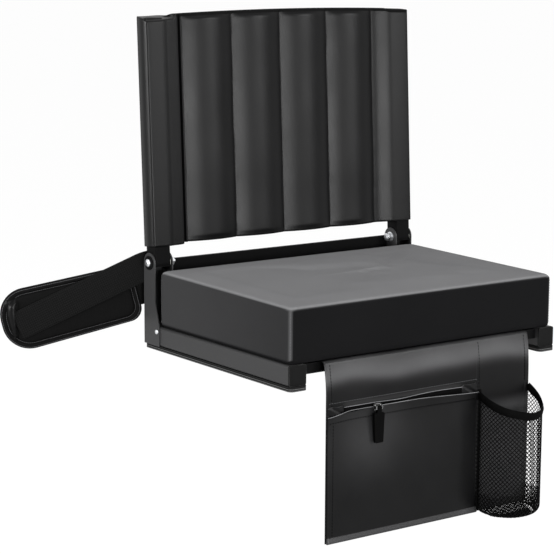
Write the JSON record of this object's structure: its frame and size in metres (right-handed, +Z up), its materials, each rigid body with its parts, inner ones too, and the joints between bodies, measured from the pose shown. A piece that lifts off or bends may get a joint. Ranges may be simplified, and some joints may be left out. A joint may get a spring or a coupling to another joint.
{
  "type": "stadium seat",
  "caption": "Folding stadium seat: padded cushion on a steel frame, padded folding back, shoulder strap, and a front flap with a zip pocket and a mesh bottle pocket.",
  "frame": {"origin": "on the plane of the two foot strips, under the middle of the cushion", "axes": "+X to the viewer's right from the front, +Y to the rear, +Z up"},
  "size_m": [0.5937, 0.4869, 0.6256],
  "materials": {
    "frame_paint": "black satin powder coat",
    "bright_steel": "zinc plated",
    "black_plastic": "black, moulded",
    "nylon": "natural nylon",
    "foot_rubber": "matt black",
    "plywood": "bare plywood",
    "foam": "open-cell foam",
    "coated_cloth": "black coated cloth with a satin sheen",
    "webbing": "woven, black",
    "pad_cloth": "matt black",
    "net": "open black net"
  },
  "bodies": {
    "seat": {"left_rail": "frame_paint", "right_rail": "frame_paint", "left_front_cap": "black_plastic", "right_front_cap": "black_plastic", "left_rear_cap": "black_plastic", "right_rear_cap": "black_plastic", "left_foot_strip": "foot_rubber", "right_foot_strip": "foot_rubber", "front_cross_bar": "frame_paint", "rear_cross_bar": "frame_paint", "left_hinge_bracket": "frame_paint", "right_hinge_bracket": "frame_paint", "bracket_screws": "bright_steel", "left_hinge_bolt": "bright_steel", "right_hinge_bolt": "bright_steel", "hinge_nuts": "bright_steel", "bolt_head_washers": "frame_paint", "nut_washers": "bright_steel", "hinge_spacer_washers": "nylon", "seat_board": "plywood", "cushion_foam": "foam", "cushion_cover": "coated_cloth", "seat_screws": "bright_steel", "strap_upper_webbing": "webbing", "strap_lower_webbing": "webbing", "shoulder_pad": "pad_cloth", "strap_screws": "bright_steel", "strap_washers": "bright_steel", "flap_top_strip": "coated_cloth"},
    "backrest": {"left_upright": "frame_paint", "right_upright": "frame_paint", "left_hinge_sleeve": "nylon", "right_hinge_sleeve": "nylon", "left_top_plug": "black_plastic", "right_top_plug": "black_plastic", "back_lower_bar": "frame_paint", "back_upper_bar": "frame_paint", "back_foam": "foam", "back_cover": "coated_cloth"},
    "flap": {"flap_panel": "coated_cloth", "pocket_panel": "coated_cloth", "zipper_tape": "webbing", "zipper_coil": "black_plastic", "zip_end_tabs": "coated_cloth", "mesh_pocket": "net", "mesh_rim": "webbing"},
    "slider": {"zipper_slider": "bright_steel"},
    "pull": {"zipper_pull": "black_plastic"}
  },
  "joints": [
    {"name": "backrest_fold", "type": "hinge", "parent": "seat", "child": "backrest", "pos_m": [0, 0.1595, 0.1134], "axis": [1, 0, 0], "range_deg": [0, 92]},
    {"name": "flap_swing", "type": "hinge", "parent": "seat", "child": "flap", "pos_m": [0, -0.14505, 0.0304], "axis": [-1, 0, 0], "range_deg": [0, 85]},
    {"name": "zipper_slide", "type": "slide", "parent": "flap", "child": "slider", "axis": [1, 0, 0], "range_m": [-0.043, 0.135]},
    {"name": "pull_swing", "type": "hinge", "parent": "slider", "child": "pull", "pos_m": [-0.091, -0.16265, -0.032], "axis": [-1, 0, 0], "range_deg": [0, 150]}
  ]
}
